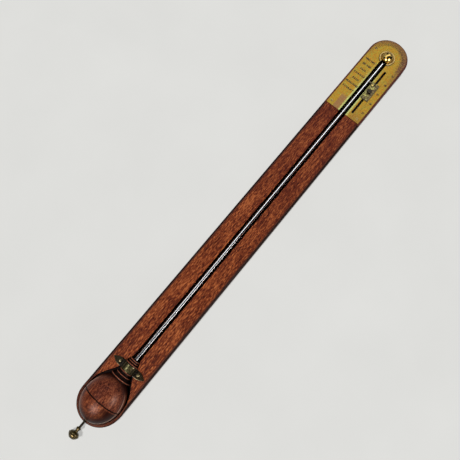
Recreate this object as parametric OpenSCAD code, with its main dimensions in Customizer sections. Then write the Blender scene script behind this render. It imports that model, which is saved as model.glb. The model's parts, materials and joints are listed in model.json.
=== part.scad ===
// Stick barometer with a pear-shaped wooden cistern, lying on its back.
// X runs across the board, Y up the instrument to its arched top, Z out of its face.
// The origin is the middle of the hanging hole, on the back face.
// Heights along Y are worked out from the foot of the board and shifted to the origin at the end.

/* [Backboard] */
// Length of the mahogany board
board_len = 915; // [895:1:960]
// Width of the board
board_w = 82; // [80:1:92]
// Thickness of the board
board_t = 22; // [20:0.5:26]
// Rounding of the board's front edge
edge_r = 3.5; // [1:0.5:4]
// Wood left behind the cistern
back_web = 3; // [2:0.5:4]

/* [Register plate] */
// Length of the arched brass plate
plate_len = 192.5; // [185:0.5:210]
// Thickness of the plate
plate_t = 1.5; // [1:0.1:2]
// Wood left showing round the plate
plate_margin = 3; // [2:0.5:6]
// Distance of the plate's screws from its edges
plate_screw_inset = 8; // [6:0.5:12]

/* [Vernier slot] */
// Distance of the slot from the tube's axis
slot_x = 15.2; // [15:0.1:18]
// Width of the slot
slot_w = 4; // [3:0.1:4.4]
// Distance of the slot's lower end above the plate's lower edge
slot_foot = 12; // [8:0.5:16]
// Distance from the centre of the arch down to the slot's upper end
slot_drop = 31; // [29:0.5:34]
// Depth of the channel that is cut in the board behind the slot
channel_depth = 7.5; // [7:0.5:9]
// Width of that channel
channel_w = 10; // [9:0.5:10.5]

/* [Tube] */
// Outer diameter of the glass tube
tube_d = 12.6; // [11:0.1:13]
// Bore of the glass tube
bore_d = 6.2; // [5:0.1:9]
// Gap between the tube and its groove
groove_gap = 1.1; // [0.6:0.1:1.3]
// Height of the tube's open end above the cistern's mouth
dip = 11; // [8:0.5:16]

/* [Tube cap] */
// Diameter of the brass dome over the tube's upper end
dome_d = 24; // [20:0.5:27]
// Wall of the dome
dome_wall = 1.2; // [0.8:0.1:1.5]
// Diameter of the flange round the dome
flange_d = 32.5; // [30:0.5:36]
// Thickness of the flange
flange_t = 2.2; // [1.5:0.1:3]
// Distance of the dome below the centre of the arch
cap_drop = 4; // [2:0.5:6]

/* [Vernier] */
// Width of the vernier slide
slide_w = 16; // [15:0.5:18]
// Length of the vernier slide
slide_len = 42.5; // [38:0.5:46]
// Thickness of the vernier slide
slide_t = 1.4; // [1:0.1:2]
// Distance from the slot's upper end down to the top of the slide, as it stands
slide_drop = 33; // [31:0.5:40]
// Distance of the index finger below the top of the slide
index_drop = 7; // [5:0.5:9]
// Width of the index finger
finger_w = 3.2; // [2.5:0.1:4]
// Thickness of the index finger
finger_t = 1; // [0.8:0.1:1.4]
// Diameter of the index finger's screw head
index_screw_d = 5; // [4:0.1:5.6]
// Diameter of the clamping knob
clamp_d = 8; // [6:0.5:10]
// Height of the clamping knob
clamp_h = 5.5; // [4:0.5:8]
// Distance of the clamping knob below the top of the slide
clamp_drop = 23.5; // [20:0.5:26]
// Diameter of the clamping screw
clamp_screw_d = 1.8; // [1.4:0.1:2]
// Length of the runner behind the plate
runner_len = 34; // [32:0.5:40]
// Thickness of the runner
runner_t = 4.4; // [3.5:0.1:5]
// Length of the runner's tongue, which slides in the slot
tongue_len = 29.5; // [26:0.5:31]

/* [Cistern cover] */
// Wood left on each side of the recess that the cover lies in
cheek_w = 4.3; // [3:0.1:7]
// Gap between the cover and its recess in the board
recess_gap = 1.2; // [0.8:0.1:1.6]
// Height of the cover's lower end above the foot of the board
foot_margin = 5.4; // [5:0.1:8]
// Length of the bowl below the seam
bowl_len = 40.3; // [39.2:0.1:43.5]
// Wood left at the bottom of the bowl
bowl_floor = 6.6; // [5:0.1:8]
// Length of the ellipse that the shoulder above the seam follows
shoulder_len = 46.5; // [46:0.1:52]
// Diameter of the neck under the strap
neck_d = 23; // [22:0.5:24]
// Height of the middle of the neck above the seam
neck_rise = 64.7; // [64.3:0.1:66.5]
// Gap between the cistern and the cover's bore
cavity_gap = 0.4; // [0.3:0.05:0.8]
// Thickness of the bowl's rim, which screws into the cover
joint_wall = 2; // [1.5:0.1:2.6]
// Length of that joint
joint_len = 5; // [4:0.5:7]

/* [Strap] */
// Width of the brass strap over the neck
strap_w = 13.4; // [11:0.1:14]
// Thickness of the strap
strap_t = 1.3; // [1:0.1:1.6]
// Distance from one pointed tip to the other
strap_span = 67.5; // [62:0.5:72]
// Distance between the strap's two screws
strap_pitch = 39; // [37:0.5:44]

/* [Cistern] */
// Outer diameter of the boxwood cistern
box_d = 30; // [28:0.1:31]
// Wall of the boxwood cistern
box_wall = 3; // [2.5:0.1:3.4]
// Height of the boxwood cistern's mouth below the seam
box_drop = 11.7; // [10.7:0.1:13.7]
// Length of the boxwood cistern without its lid
box_len = 44; // [41:0.5:44]
// Thickness of the cistern's lid
lid_t = 4; // [3:0.5:4.5]
// Thickness of the leather
leather_t = 0.8; // [0.6:0.1:1.1]
// Depth of the leather bag below the cistern's mouth
bag_depth = 10; // [8:0.5:11]
// Distance of the mercury's surface below the cistern's lid
level_drop = 20.5; // [18:0.5:24]

/* [Portable screw] */
// Diameter of the screw
screw_d = 4.6; // [4:0.1:5]
// Pitch of its thread
screw_pitch = 1.5; // [1:0.25:2]
// Length of screw that shows below the foot of the board
screw_out = 10; // [9.5:0.5:16]
// Diameter of the thrust pad under the bag
pad_d = 20; // [16:0.5:22]
// Thickness of the thrust pad
pad_t = 3.7; // [3.5:0.1:5]
// Diameter of the threaded bush in the bowl
bush_d = 8; // [7:0.5:9]
// Diameter of the screw's knob
knob_d = 19.6; // [16:0.2:24]
// Length of the knob without its neck
knob_len = 13; // [10:0.5:16]
// Diameter of the bead above the knob
bead_d = 8.4; // [7:0.1:10]

/* [Hanger] */
// Distance of the hanging hole below the top of the board
hanger_drop = 35; // [30:1:45]
// Diameter of the hanging hole
hanger_hole_d = 10; // [8:0.5:11]
// Length of the brass hanging plate, across the board
hanger_w = 44; // [38:1:50]
// Height of the hanging plate
hanger_h = 18; // [16:1:24]
// Thickness of the hanging plate
hanger_t = 2; // [1.5:0.1:3]
// Depth of the pocket behind the hanging hole
hanger_pocket = 9; // [6:0.5:10]

/* [Screws] */
// Diameter of the shanks of the brass wood screws
shank_d = 2.6; // [2:0.1:3]
// Diameter of their heads
head_d = 4.8; // [4:0.1:5.6]
// Length of the screws that hold the register plate and the strap
wood_screw_len = 12; // [8:0.5:14]
// Length of the screws that hold the hanging plate
hanger_screw_len = 9; // [6:0.5:12]

/* [Fits] */
// Radial clearance of a screwed, turned or driven fit
snug = 0.05; // [0.03:0.01:0.08]
// Gap between two faces that slide past each other
slack = 0.3; // [0.2:0.05:0.3]

/* [Hidden] */
$fn = 72;
over = 1;                     // how far a cutting solid runs past the face that it cuts

// Heights and radii that the pieces share
half_w = board_w / 2;
arch_y = board_len - half_w;
hanger_y = board_len - hanger_drop;
axis_z = board_t;             // the axis of the tube, the cistern and the portable screw
face_z = board_t + plate_t;   // the front of the register plate
plate_r = half_w - plate_margin;
plate_y = arch_y + plate_r - plate_len;
tube_r = tube_d / 2;
bore_r = bore_d / 2;
groove_r = tube_r + groove_gap;

// Tube cap
cap_y = arch_y - cap_drop;
dome_r = dome_d / 2;
dome_lip = 0.85;              // how far the dome laps over its flange
dome_base_r = dome_r - dome_lip;
dome_lift = 1;                // the dome's centre above the plate
tube_top = cap_y + 1.5;       // the tube's sealed end lies inside the dome

// Vernier slot and slide
slot_r = slot_w / 2;
slot_top = arch_y - slot_drop;
slot_y = plate_y + slot_foot;
channel_end = (runner_len - tongue_len) / 2 + channel_w / 2; // how far the channel passes the slot's ends
slide_top = slot_top - slide_drop;
slide_y = slide_top - slide_len;
slide_x = groove_r + 0.8;
slide_z = face_z + slack;
index_y = slide_top - index_drop;
index_x = slide_x + 2.8;      // the index finger's screw
clamp_y = slide_top - clamp_drop;
clamp_r = clamp_screw_d / 2;
tongue_r = slot_r - slack;
runner_side = 0.5;            // gap on each side of the runner in its channel
notch_w = 2;
notch_len = 8.5;

// Cover
seam_y = foot_margin + bowl_len;
recess_r = half_w - cheek_w;
pear_r = recess_r - recess_gap;
flat_z = back_web + slack;    // the cover's back is planed flat here
neck_y = seam_y + neck_rise;
neck_r = neck_d / 2;
cavity_r = box_d / 2 + cavity_gap;
joint_r = cavity_r + joint_wall;
floor_y = foot_margin + bowl_floor;
ceiling_y = seam_y - box_drop + box_len + lid_t + slack;
strap_in = neck_r + snug;
strap_way = neck_r + 2.3;     // half the recess under the strap
ring_y = neck_y - strap_w / 2;
collar_y = neck_y + strap_w / 2;
collar_top = collar_y + 10.6;

// Cistern
box_r = box_d / 2;
box_in = box_r - box_wall;
box_y = seam_y - box_drop;
box_top = box_y + box_len;
rim_r = box_in + 1;           // the box's lower rim, which the leather is tied round
rim_len = 5;
bag_r = box_r - 0.4;
bag_y = box_y - bag_depth;
dip_y = box_y + dip;
level_y = box_top - level_drop;

// Portable screw
screw_r = screw_d / 2;
core_r = screw_r - 0.6 * screw_pitch; // the tip and the knob's end are turned down to the thread's core
pad_top = bag_y - slack;
pad_y = pad_top - pad_t;
tip_len = 2.2;
bush_r = bush_d / 2;
bush_flange_r = bush_r + 2.5;
bush_flange_t = 1.2;
bush_y = foot_margin - 0.5;
knob_neck_r = 2.8;            // the turned necks on both sides of the bead
bead_r = bead_d / 2;
bead_len = 4;
bead_y = -screw_out - 0.2 - bead_len;
collar_len = 3;
knob_r = knob_d / 2;
knob_y = bead_y - collar_len - knob_len;

// Curves and profiles

function curve(a, b, c, d, n = 12) = [
    for (i = [0:n])
        let (t = i / n, u = 1 - t)
            u * u * u * a + 3 * u * u * t * b + 3 * u * t * t * c + t * t * t * d
];

// Points on an arc round [r, y], from one angle to another
function arc(r, y, radius, from, to, n = 10) = [
    for (i = [0:n])
        let (a = from + (to - from) * i / n)
            [r + radius * cos(a), y + radius * sin(a)]
];

// A turned half-round bead, as a stretch of a lathe profile
function bead(y, crest, radius) = arc(crest - radius, y, radius, -90, 90);

// The outline of the bowl and the shoulder at a height above the seam
function ellipse(length, from, to, n = 20) = [
    for (i = [0:n])
        let (a = from + (to - from) * i / n)
            [pear_r * cos(a), seam_y + length * sin(a)]
];

function mirrored(points) = [
    for (i = [len(points) - 1:-1:0])
        [-points[i][0], points[i][1]]
];

// One side of the recess: round the bowl, in to the neck, and in again to the tube's groove
recess_side = concat(
    [
        for (i = [0:24])
            let (a = -90 + 90 * i / 24)
                [recess_r * cos(a), seam_y + (bowl_len + recess_gap) * sin(a)]
    ],
    curve(
        [recess_r, seam_y + 8], [recess_r, seam_y + shoulder_len - 9],
        [strap_way, neck_y - 1.4 * strap_w], [strap_way, neck_y + 2]
    ),
    curve(
        [strap_way, neck_y + 2.1], [strap_way, neck_y + strap_w - 1],
        [groove_r, collar_top - 1], [groove_r, collar_top + 7]
    )
);

// Placing

module hung() {
    translate([0, -hanger_y, 0])
        children();
}

// A lathe profile of [radius, height] points, turned about the instrument's axis
module turned(profile) {
    translate([0, 0, axis_z])
        rotate([-90, 0, 0])
            rotate_extrude()
                polygon(profile);
}

module bar(radius, from, to) {
    translate([0, from, axis_z])
        rotate([-90, 0, 0])
            cylinder(r = radius, h = to - from);
}

// What is left when the cover's back is planed flat
module planed(low = flat_z) {
    intersection() {
        children();
        translate([-half_w, -over, low])
            cube([board_w, collar_top + 2 * over, board_t + 2 * pear_r]);
    }
}

module slot_outline(width, from, to) {
    end_r = width / 2;
    translate([-end_r, from])
        square([width, to - from]);
    for (end_y = [from, to])
        translate([0, end_y])
            circle(r = end_r);
}

// Wood screws: the point is at z = -length and the head's top at z = 0

module sunk_screw(length) {
    rise = (head_d - shank_d) / 2;
    difference() {
        union() {
            translate([0, 0, -length])
                cylinder(d = shank_d, h = length);
            translate([0, 0, -rise])
                cylinder(d1 = shank_d, d2 = head_d, h = rise);
        }
        screw_slot(head_d, 0.5);
    }
}

module sunk_hole(length) {
    rise = (head_d - shank_d) / 2;
    translate([0, 0, -length])
        cylinder(d = shank_d + 2 * snug, h = length);
    translate([0, 0, -rise])
        cylinder(d1 = shank_d + 2 * snug, d2 = head_d + 2 * snug, h = rise);
    cylinder(d = head_d + 2 * snug, h = over);
}

module screw_slot(width, depth) {
    translate([-width, -0.4, -depth])
        cube([2 * width, 0.8, depth + over]);
}

// A domed screw: the underside of its head is at z = 0
module domed_screw(diameter, shank, length, height) {
    difference() {
        union() {
            translate([0, 0, -length])
                cylinder(d = shank, h = length);
            cylinder(d = diameter, h = height * 0.4);
            translate([0, 0, height * 0.4])
                intersection() {
                    sphere_r = (pow(diameter / 2, 2) + pow(height * 0.6, 2)) / (1.2 * height);
                    translate([0, 0, height * 0.6 - sphere_r])
                        sphere(r = sphere_r);
                    cylinder(d = diameter, h = height);
                }
        }
        translate([0, 0, height])
            screw_slot(diameter, 0.7);
    }
}

// Backboard

module edge_section() {
    square([half_w, board_t - edge_r]);
    square([half_w - edge_r, board_t]);
    translate([half_w - edge_r, board_t - edge_r])
        circle(r = edge_r);
}

module board_blank() {
    for (end_y = [half_w, arch_y])
        translate([0, end_y, 0])
            rotate_extrude()
                edge_section();
    translate([0, arch_y, 0])
        rotate([90, 0, 0])
            linear_extrude(arch_y - half_w) {
                edge_section();
                mirror([1, 0])
                    edge_section();
            }
}

plate_screw_spots = [
    for (x = [-1, 1], y = [plate_y + plate_screw_inset, arch_y + 2])
        [x * (plate_r - plate_screw_inset), y]
];
hanger_screw_spots = [for (x = [-1, 1]) [x * (hanger_w / 2 - 6), hanger_y]];
strap_screw_spots = [for (x = [-1, 1]) [x * strap_pitch / 2, neck_y]];

module backboard() {
    color([0.50, 0.23, 0.12])
        hung()
            difference() {
                board_blank();
                // groove for the tube
                bar(groove_r, neck_y, tube_top - tube_r + groove_gap);
                translate([0, tube_top - tube_r + groove_gap, axis_z])
                    sphere(r = groove_r);
                // recess for the cistern, and the notch for its screw
                translate([0, 0, back_web])
                    linear_extrude(board_t)
                        polygon(concat(recess_side, mirrored(recess_side)));
                bar(screw_r + 0.8, -over, foot_margin + over);
                // channel for the vernier's runner
                translate([slot_x, 0, board_t - channel_depth])
                    linear_extrude(channel_depth + over)
                        slot_outline(
                            channel_w,
                            slot_y + channel_w / 2 - channel_end,
                            slot_top - channel_w / 2 + channel_end
                        );
                // seat of the hanging plate, and the pocket behind its hole
                translate([-hanger_w / 2 - snug, hanger_y - hanger_h / 2 - snug, -over])
                    cube([hanger_w + 2 * snug, hanger_h + 2 * snug, hanger_t + over]);
                translate([0, hanger_y, 0])
                    cylinder(d = hanger_hole_d + 3, h = hanger_t + hanger_pocket);
                // screw holes
                for (spot = plate_screw_spots)
                    translate([spot[0], spot[1], face_z - wood_screw_len])
                        cylinder(d = shank_d + 2 * snug, h = wood_screw_len);
                for (spot = strap_screw_spots)
                    translate([spot[0], spot[1], board_t + strap_t - wood_screw_len])
                        cylinder(d = shank_d + 2 * snug, h = wood_screw_len);
                for (spot = hanger_screw_spots)
                    translate([spot[0], spot[1], 0])
                        cylinder(d = shank_d + 2 * snug, h = hanger_screw_len);
            }
}

// Register plate and its cap

module register_plate() {
    color([0.75, 0.62, 0.22])
        hung()
            translate([0, 0, board_t])
                difference() {
                    linear_extrude(plate_t)
                        difference() {
                            union() {
                                translate([0, arch_y])
                                    circle(r = plate_r);
                                translate([-plate_r, plate_y])
                                    square([2 * plate_r, arch_y - plate_y]);
                            }
                            // the slot that shows the tube
                            translate([-groove_r, plate_y - over])
                                square([2 * groove_r, cap_y - plate_y + over]);
                            translate([0, cap_y])
                                circle(r = groove_r);
                            translate([slot_x, 0])
                                slot_outline(slot_w, slot_y + slot_r, slot_top - slot_r);
                        }
                    for (spot = plate_screw_spots)
                        translate([spot[0], spot[1], plate_t])
                            sunk_hole(plate_t + over);
                }
}

module plate_screws() {
    color([0.55, 0.45, 0.20])
        hung()
            for (i = [0:len(plate_screw_spots) - 1])
                translate([plate_screw_spots[i][0], plate_screw_spots[i][1], face_z])
                    rotate([0, 0, 25 + 50 * i])
                        sunk_screw(wood_screw_len);
}

// The way through the cap that the tube takes
module tube_way(radius) {
    bar(radius, cap_y - flange_d, cap_y);
}

module cap_flange() {
    color([0.72, 0.60, 0.28])
        hung()
            difference() {
                translate([0, cap_y, face_z])
                    rotate_extrude()
                        polygon(concat(
                            [[dome_base_r + snug, 0], [flange_d / 2, 0]],
                            arc(
                                flange_d / 2 - flange_t / 2, flange_t / 2, flange_t / 2,
                                0, 90
                            ),
                            [
                                [dome_r + 1.2, flange_t],
                                [dome_r + 0.5, flange_t - 0.6],
                                [dome_base_r + snug, flange_t - 0.6]
                            ]
                        ));
                tube_way(groove_r);
            }
}

module tube_cap() {
    color([0.80, 0.68, 0.34])
        hung()
            difference() {
                translate([0, cap_y, face_z]) {
                    cylinder(r = dome_base_r, h = flange_t);
                    intersection() {
                        translate([0, 0, dome_lift])
                            sphere(r = dome_r);
                        translate([0, 0, flange_t - 0.6 + snug])
                            cylinder(r = dome_r, h = dome_d);
                    }
                }
                translate([0, cap_y, face_z]) {
                    translate([0, 0, dome_lift])
                        sphere(r = dome_r - dome_wall);
                    translate([0, 0, -over])
                        cylinder(r = dome_base_r - dome_wall, h = dome_lift + over);
                }
                tube_way(tube_r + 0.6);
            }
}

// Tube and mercury

module glass_tube() {
    color([0.80, 0.88, 0.90, 0.4])
        hung()
            difference() {
                union() {
                    bar(tube_r, dip_y, tube_top - tube_r);
                    translate([0, tube_top - tube_r, axis_z])
                        sphere(r = tube_r);
                }
                bar(bore_r, dip_y - over, tube_top - tube_r);
                translate([0, tube_top - tube_r, axis_z])
                    sphere(r = bore_r);
            }
}

module mercury_column() {
    column_r = bore_r - snug;
    color([0.60, 0.62, 0.66])
        hung() {
            bar(column_r, dip_y + snug, tube_top - tube_r);
            translate([0, tube_top - tube_r, axis_z])
                sphere(r = column_r);
        }
}

// Vernier

module vernier_slide() {
    color([0.72, 0.68, 0.36])
        hung()
            translate([0, 0, slide_z])
                difference() {
                    translate([slide_x, slide_y, 0])
                        cube([slide_w, slide_len, slide_t]);
                    translate([slot_x - notch_w / 2, slide_top - notch_len, -over])
                        cube([notch_w, notch_len + over, slide_t + 2 * over]);
                    translate([slot_x, clamp_y, -over])
                        cylinder(r = clamp_r + snug, h = slide_t + 2 * over);
                    translate([index_x, index_y, -over])
                        cylinder(d = shank_d + 2 * snug, h = slide_t + 2 * over);
                }
}

// A bent finger that steps up from the slide and over the tube
module vernier_pointer() {
    top_z = slide_z + slide_t;
    over_z = axis_z + tube_r + slack + 0.2;
    tip_x = 1.9;
    bend_x = index_x - index_screw_d / 2 - 2 * snug;
    color([0.62, 0.52, 0.28])
        hung()
            difference() {
                translate([0, index_y + finger_w / 2, 0])
                    rotate([90, 0, 0])
                        linear_extrude(finger_w)
                            polygon([
                                [index_x + index_screw_d / 2 + 0.6, top_z],
                                [index_x + index_screw_d / 2 + 0.6, top_z + finger_t],
                                [bend_x, top_z + finger_t],
                                [tube_r + 1.4, over_z + finger_t],
                                [tip_x, over_z + finger_t],
                                [tip_x, over_z + 0.3],
                                [tip_x + 0.6, over_z],
                                [tube_r + 0.8, over_z],
                                [bend_x - 0.9, top_z]
                            ]);
                translate([index_x, index_y, top_z - over])
                    cylinder(d = shank_d + 2 * snug, h = finger_t + 2 * over);
            }
}

module pointer_screw() {
    color([0.50, 0.44, 0.26])
        hung()
            translate([index_x, index_y, slide_z + slide_t + finger_t])
                rotate([0, 0, 70])
                    domed_screw(index_screw_d, shank_d, slide_t + finger_t, 1.5);
}

module vernier_runner() {
    runner_w = channel_w - 2 * runner_side;
    runner_z = board_t - slack - runner_t;
    color([0.66, 0.56, 0.28])
        hung()
            difference() {
                union() {
                    translate([slot_x - runner_w / 2, clamp_y - runner_len / 2, runner_z])
                        cube([runner_w, runner_len, runner_t]);
                    translate([slot_x, 0, runner_z])
                        linear_extrude(slide_z - runner_z)
                            slot_outline(
                                2 * tongue_r,
                                clamp_y - tongue_len / 2 + tongue_r,
                                clamp_y + tongue_len / 2 - tongue_r
                            );
                }
                translate([slot_x, clamp_y, runner_z - over])
                    cylinder(r = clamp_r + snug, h = slide_z - runner_z + 2 * over);
            }
}

// A bowed leaf that presses on the floor of the channel
module runner_spring() {
    leaf_t = 0.4;
    leaf_w = channel_w - 4;
    half_len = runner_len / 2 - 3;
    high = board_t - slack - runner_t;
    low = board_t - channel_depth + slack;
    sag = high - low;
    bow_r = (half_len * half_len + sag * sag) / (2 * sag);
    color([0.60, 0.55, 0.42])
        hung()
            intersection() {
                translate([slot_x - leaf_w / 2, clamp_y, low + bow_r])
                    rotate([0, 90, 0])
                        linear_extrude(leaf_w)
                            difference() {
                                circle(r = bow_r, $fn = 360);
                                circle(r = bow_r - leaf_t, $fn = 360);
                            }
                translate([slot_x - leaf_w, clamp_y - half_len - 1, low - over])
                    cube([2 * leaf_w, 2 * half_len + 2, sag + over]);
            }
}

module vernier_knob() {
    knob_z = slide_z + slide_t + slack;
    color([0.40, 0.34, 0.20])
        hung()
            translate([slot_x, clamp_y, knob_z])
                difference() {
                    rotate_extrude()
                        polygon(concat(
                            [[0, 0], [clamp_d * 0.33, 0], [clamp_d * 0.28, clamp_h * 0.22]],
                            arc(clamp_d / 2 - 0.5, clamp_h * 0.42, 0.5, -90, 0, 4),
                            arc(clamp_d / 2 - 0.7, clamp_h - 1.1, 0.7, 0, 80, 5),
                            [[0, clamp_h]]
                        ));
                    translate([0, 0, -over])
                        cylinder(r = clamp_r + snug, h = clamp_h - 1 + over);
                }
}

module clamp_screw() {
    knob_z = slide_z + slide_t + slack;
    runner_z = board_t - slack - runner_t;
    color([0.60, 0.56, 0.45])
        hung()
            translate([slot_x, clamp_y, runner_z + 0.2])
                cylinder(r = clamp_r, h = knob_z + clamp_h - 1 - snug - runner_z - 0.2);
}

// Cistern cover, bowl and strap

// The turned rings below the strap, from the shoulder up: a deep groove, a large bead, a cove, a
// small bead and the neck's groove. Heights are counted down from the strap's lower edge.
lower_rings = concat(
    [[pear_r * 0.44, ring_y - 16.8], [pear_r * 0.44, ring_y - 15.6]],
    bead(ring_y - 13.7, neck_r + 7.4, 1.9),
    [[neck_r + 3, ring_y - 11.4], [neck_r + 0.9, ring_y - 9]],
    bead(ring_y - 7.2, neck_r + 1.7, 1.6),
    [[neck_r - 1.3, ring_y - 4.8], [neck_r - 1.3, ring_y - 2.6]],
    [[neck_r, ring_y - 1.4]]
);
// The collar above the strap: three beads that shrink towards the tube
upper_rings = concat(
    [[neck_r, collar_y + 0.2]],
    bead(collar_y + 1.5, neck_r + 0.9, 1.3),
    [[groove_r + 1, collar_y + 3.4]],
    bead(collar_y + 5.1, groove_r + 1.8, 1.2),
    [[groove_r + 0.8, collar_y + 6.8]],
    bead(collar_y + 8.9, groove_r + 1.9, 1.3),
    [[groove_r + 0.6, collar_y + 10.6]]
);
shoulder_end = asin(min(0.9, (ring_y - 17.2 - seam_y) / shoulder_len));
cork_top = ring_y - 5.5;
cork_r = tube_r + 2.7;
seam_deep = 1.3;              // the groove where the bowl meets the shoulder
seam_half = 1.1;

module cistern_cover() {
    color([0.38, 0.17, 0.10])
        hung()
            planed()
                difference() {
                    turned(concat(
                        [[0, seam_y]],
                        [[pear_r - seam_deep, seam_y], [pear_r, seam_y + seam_half]],
                        ellipse(shoulder_len, 2, shoulder_end),
                        lower_rings,
                        upper_rings,
                        [[0, collar_top]]
                    ));
                    bar(cavity_r, seam_y - over, ceiling_y);
                    bar(cork_r + snug, ceiling_y - over, cork_top);
                    bar(tube_r + snug, cork_top - over, collar_top + over);
                    // socket that the bowl's rim screws into
                    bar(joint_r + snug, seam_y - over, seam_y + joint_len);
                }
}

module cistern_bowl() {
    color([0.45, 0.22, 0.12])
        hung()
            planed()
                difference() {
                    union() {
                        turned(concat(
                            [[0, foot_margin]],
                            ellipse(bowl_len, -88, -2),
                            [[pear_r, seam_y - seam_half]],
                            [[pear_r - seam_deep, seam_y], [0, seam_y]]
                        ));
                        bar(joint_r, seam_y - over, seam_y + joint_len - snug);
                    }
                    bar(cavity_r, floor_y, seam_y + joint_len + over);
                    bar(bush_r + snug, foot_margin - over, floor_y + over);
                }
}

module neck_cork() {
    color([0.66, 0.50, 0.34])
        hung()
            difference() {
                bar(cork_r, ceiling_y + snug, cork_top - snug);
                bar(tube_r + snug, ceiling_y - over, cork_top + over);
            }
}

// One pointed ear of the strap, from the band out to the tip
ear_shoulder = strap_pitch / 2 + 1.2;
ear_side = concat(
    [[strap_in, -strap_w / 2], [ear_shoulder, -strap_w / 2]],
    curve(
        [ear_shoulder, -strap_w / 2], [ear_shoulder + 3.4, -strap_w / 2 + 0.5],
        [strap_span / 2 - 4.5, -1.9], [strap_span / 2, 0], 8
    ),
    curve(
        [strap_span / 2, 0], [strap_span / 2 - 4.5, 1.9],
        [ear_shoulder + 3.4, strap_w / 2 - 0.5], [ear_shoulder, strap_w / 2], 8
    ),
    [[strap_in, strap_w / 2]]
);

module neck_strap() {
    color([0.36, 0.36, 0.20])
        hung() {
            // the band over the neck
            intersection() {
                difference() {
                    bar(strap_in + strap_t, ring_y, collar_y);
                    bar(strap_in, ring_y - over, collar_y + over);
                }
                translate([-neck_d, ring_y - over, board_t])
                    cube([2 * neck_d, strap_w + 2 * over, neck_d]);
            }
            for (side = [0, 1])
                mirror([side, 0, 0])
                    difference() {
                        translate([0, neck_y, board_t])
                            linear_extrude(strap_t)
                                polygon(ear_side);
                        translate([strap_pitch / 2, neck_y, board_t - over])
                            cylinder(d = shank_d + 2 * snug, h = strap_t + 2 * over);
                    }
        }
}

module strap_screws() {
    color([0.55, 0.50, 0.32])
        hung()
            for (i = [0, 1])
                translate([strap_screw_spots[i][0], neck_y, board_t + strap_t])
                    rotate([0, 0, 40 + 80 * i])
                        domed_screw(head_d + 0.8, shank_d, wood_screw_len - 0.5, 1.9);
}

// Inside the cistern cover

module cistern_body() {
    color([0.80, 0.62, 0.36])
        hung()
            difference() {
                bar(box_r, box_y, box_top);
                bar(box_in, box_y - over, box_top + over);
                // the rim that the leather is tied round
                difference() {
                    bar(box_r + over, box_y - over, box_y + rim_len);
                    bar(rim_r, box_y - over, box_y + rim_len);
                }
            }
}

module cistern_lid() {
    color([0.78, 0.60, 0.34])
        hung()
            difference() {
                union() {
                    bar(box_r, box_top, box_top + lid_t);
                    bar(box_in - snug, box_top - 3, box_top + over);
                }
                bar(tube_r + snug, box_top - 4, box_top + lid_t + over);
            }
}

bag_belly = curve([bag_r, box_y - 1], [bag_r, bag_y + 2.5], [bag_r - 2, bag_y], [bag_r - 5, bag_y], 8);
bag_inner = [for (p = bag_belly) [p[0] - leather_t, max(p[1], bag_y + leather_t)]];

module leather_bag() {
    color([0.72, 0.58, 0.44])
        hung()
            difference() {
                turned(concat(
                    [[0, box_y + rim_len - 0.6], [rim_r + snug + leather_t, box_y + rim_len - 0.6]],
                    [[rim_r + snug + leather_t, box_y + 0.4]],
                    bag_belly,
                    [[0, bag_y]]
                ));
                turned(concat(
                    [[0, box_y + rim_len], [rim_r + snug, box_y + rim_len]],
                    [[rim_r + snug, box_y - snug]],
                    bag_inner,
                    [[0, bag_y + leather_t]]
                ));
            }
}

module bag_binding() {
    cord_r = 0.45;
    color([0.85, 0.80, 0.68])
        hung()
            for (turn = [0:2])
                translate([0, box_y + 1.3 + turn * 2.05 * cord_r, axis_z])
                    rotate([-90, 0, 0])
                        rotate_extrude()
                            translate([rim_r + leather_t + 2 * snug + cord_r, 0])
                                circle(r = cord_r, $fn = 16);
}

module cistern_mercury() {
    color([0.60, 0.62, 0.66])
        hung()
            difference() {
                union() {
                    bar(box_in - snug, box_y - 1, level_y);
                    turned(concat(
                        [[0, box_y - snug - 0.1]],
                        [for (p = bag_inner) [p[0] - snug, max(p[1], bag_y + leather_t + snug)]],
                        [[0, bag_y + leather_t + snug]]
                    ));
                }
                bar(tube_r + snug, dip_y, level_y + over);
            }
}

// Portable screw

module thrust_pad() {
    color([0.74, 0.60, 0.38])
        hung()
            difference() {
                turned(concat(
                    [[0, pad_y], [pad_d / 2 - 0.6, pad_y]],
                    [[pad_d / 2, pad_y + 0.6]],
                    arc(pad_d / 2 - 1.4, pad_top - 1.4, 1.4, 0, 90, 5),
                    [[0, pad_top]]
                ));
                bar(core_r + snug, pad_y - over, pad_y + tip_len + 0.2);
            }
}

module portable_screw() {
    color([0.30, 0.26, 0.16])
        hung() {
            bar(screw_r, bead_y + bead_len, pad_y - slack);
            bar(core_r, pad_y - slack - over, pad_y + tip_len);
            bar(core_r, knob_y + 4, bead_y + bead_len + over);
        }
}

module screw_knob() {
    color([0.38, 0.34, 0.20])
        hung()
            difference() {
                turned(concat(
                    [[0, knob_y], [knob_r * 0.3, knob_y]],
                    curve(
                        [knob_r * 0.55, knob_y + 0.7], [knob_r * 0.85, knob_y + 2],
                        [knob_r - 0.7, knob_y + knob_len * 0.28],
                        [knob_r - 0.6, knob_y + knob_len * 0.42], 8
                    ),
                    arc(knob_r - 0.7, knob_y + knob_len * 0.5, 0.7, -90, 90, 6),
                    curve(
                        [knob_r - 0.8, knob_y + knob_len * 0.56],
                        [knob_r * 0.85, knob_y + knob_len * 0.8],
                        [knob_r * 0.5, knob_y + knob_len * 0.86],
                        [knob_neck_r, knob_y + knob_len], 8
                    ),
                    [[knob_neck_r, bead_y - 0.8]],
                    [[knob_neck_r + 0.4, bead_y]],
                    curve(
                        [knob_neck_r + 0.4, bead_y + 0.3], [bead_r, bead_y + 0.9],
                        [bead_r, bead_y + bead_len - 0.9],
                        [knob_neck_r + 0.2, bead_y + bead_len - 0.3], 8
                    ),
                    [[knob_neck_r + 0.1, bead_y + bead_len], [0, bead_y + bead_len]]
                ));
                bar(core_r + snug, knob_y + 4 - snug, bead_y + bead_len + over);
            }
}

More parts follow.
